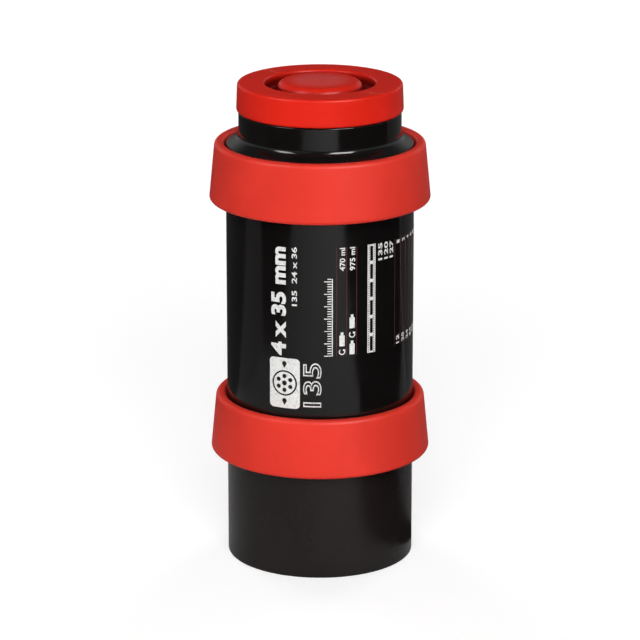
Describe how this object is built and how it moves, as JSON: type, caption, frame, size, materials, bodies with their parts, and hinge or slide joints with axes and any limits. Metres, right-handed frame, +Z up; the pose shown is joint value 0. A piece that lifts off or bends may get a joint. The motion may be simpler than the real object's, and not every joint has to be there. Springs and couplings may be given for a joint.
{
  "type": "film developing tank",
  "caption": "Cylindrical daylight film developing tank with clamp rings, funnel lid, cap and film reels stacked on a hollow core.",
  "frame": {"origin": "middle of the face that the tank stands on", "axes": "+Z up along the tank's axis, towards the cap; +Y away from the side that carries the printed scale"},
  "size_m": [0.1034, 0.1034, 0.23],
  "materials": {
    "shell": "glossy black moulded plastic",
    "clamp_ring": "satin red soft plastic",
    "cap": "satin red soft plastic",
    "funnel": "black moulded plastic",
    "core": "black moulded plastic",
    "reel": "natural white moulded plastic",
    "clip": "red moulded plastic"
  },
  "bodies": {
    "base": {"base_tank": "shell"},
    "lower_ring": {"lower_clamp_ring": "clamp_ring"},
    "extension": {"extension_tube": "shell"},
    "upper_ring": {"upper_clamp_ring": "clamp_ring"},
    "lid": {"funnel_lid": "shell", "funnel_insert": "funnel"},
    "cap": {"lid_cap": "cap"},
    "core": {"core_tube": "core"},
    "reel_1_base": {"reel_1_lower": "reel"},
    "reel_1_top": {"reel_1_upper": "reel"},
    "reel_1_stop": {"reel_1_clip": "clip"},
    "reel_2_base": {"reel_2_lower": "reel"},
    "reel_2_top": {"reel_2_upper": "reel"},
    "reel_2_stop": {"reel_2_clip": "clip"},
    "reel_3_base": {"reel_3_lower": "reel"},
    "reel_3_top": {"reel_3_upper": "reel"},
    "reel_3_stop": {"reel_3_clip": "clip"},
    "reel_4_base": {"reel_4_lower": "reel"},
    "reel_4_top": {"reel_4_upper": "reel"},
    "reel_4_stop": {"reel_4_clip": "clip"}
  },
  "joints": [
    {"name": "lower_ring_lift", "type": "slide", "parent": "base", "child": "lower_ring", "axis": [0, 0, 1], "range_m": [0, 0.004]},
    {"name": "extension_pull", "type": "slide", "parent": "base", "child": "extension", "axis": [0, 0, 1], "range_m": [0, 0.13]},
    {"name": "upper_ring_lift", "type": "slide", "parent": "extension", "child": "upper_ring", "axis": [0, 0, 1], "range_m": [0, 0.004]},
    {"name": "lid_pull", "type": "slide", "parent": "extension", "child": "lid", "axis": [0, 0, 1], "range_m": [0, 0.05]},
    {"name": "cap_pull", "type": "slide", "parent": "lid", "child": "cap", "axis": [0, 0, 1], "range_m": [0, 0.035]},
    {"name": "core_spin", "type": "hinge", "parent": "base", "child": "core", "pos_m": [0, 0, 0.09], "axis": [0, 0, 1], "continuous": true},
    {"name": "reel_1_spin", "type": "hinge", "parent": "core", "child": "reel_1_base", "pos_m": [0, 0, 0.0276], "axis": [0, 0, 1], "continuous": true},
    {"name": "reel_1_unlock", "type": "hinge", "parent": "reel_1_base", "child": "reel_1_top", "pos_m": [0, 0, 0.0276], "axis": [0, 0, 1], "range_deg": [0, 30]},
    {"name": "reel_1_stop_push", "type": "slide", "parent": "reel_1_top", "child": "reel_1_stop", "axis": [-0.9781, -0.2079, 0], "range_m": [0, 0.003]},
    {"name": "reel_2_spin", "type": "hinge", "parent": "core", "child": "reel_2_base", "pos_m": [0, 0, 0.0686], "axis": [0, 0, 1], "continuous": true},
    {"name": "reel_2_unlock", "type": "hinge", "parent": "reel_2_base", "child": "reel_2_top", "pos_m": [0, 0, 0.0686], "axis": [0, 0, 1], "range_deg": [0, 30]},
    {"name": "reel_2_stop_push", "type": "slide", "parent": "reel_2_top", "child": "reel_2_stop", "axis": [-0.5446, -0.8387, 0], "range_m": [0, 0.003]},
    {"name": "reel_3_spin", "type": "hinge", "parent": "core", "child": "reel_3_base", "pos_m": [0, 0, 0.1096], "axis": [0, 0, 1], "continuous": true},
    {"name": "reel_3_unlock", "type": "hinge", "parent": "reel_3_base", "child": "reel_3_top", "pos_m": [0, 0, 0.1096], "axis": [0, 0, 1], "range_deg": [0, 30]},
    {"name": "reel_3_stop_push", "type": "slide", "parent": "reel_3_top", "child": "reel_3_stop", "axis": [0.1564, -0.9877, 0], "range_m": [0, 0.003]},
    {"name": "reel_4_spin", "type": "hinge", "parent": "core", "child": "reel_4_base", "pos_m": [0, 0, 0.1506], "axis": [0, 0, 1], "continuous": true},
    {"name": "reel_4_unlock", "type": "hinge", "parent": "reel_4_base", "child": "reel_4_top", "pos_m": [0, 0, 0.1506], "axis": [0, 0, 1], "range_deg": [0, 30]},
    {"name": "reel_4_stop_push", "type": "slide", "parent": "reel_4_top", "child": "reel_4_stop", "axis": [0.766, -0.6428, 0], "range_m": [0, 0.003]}
  ]
}
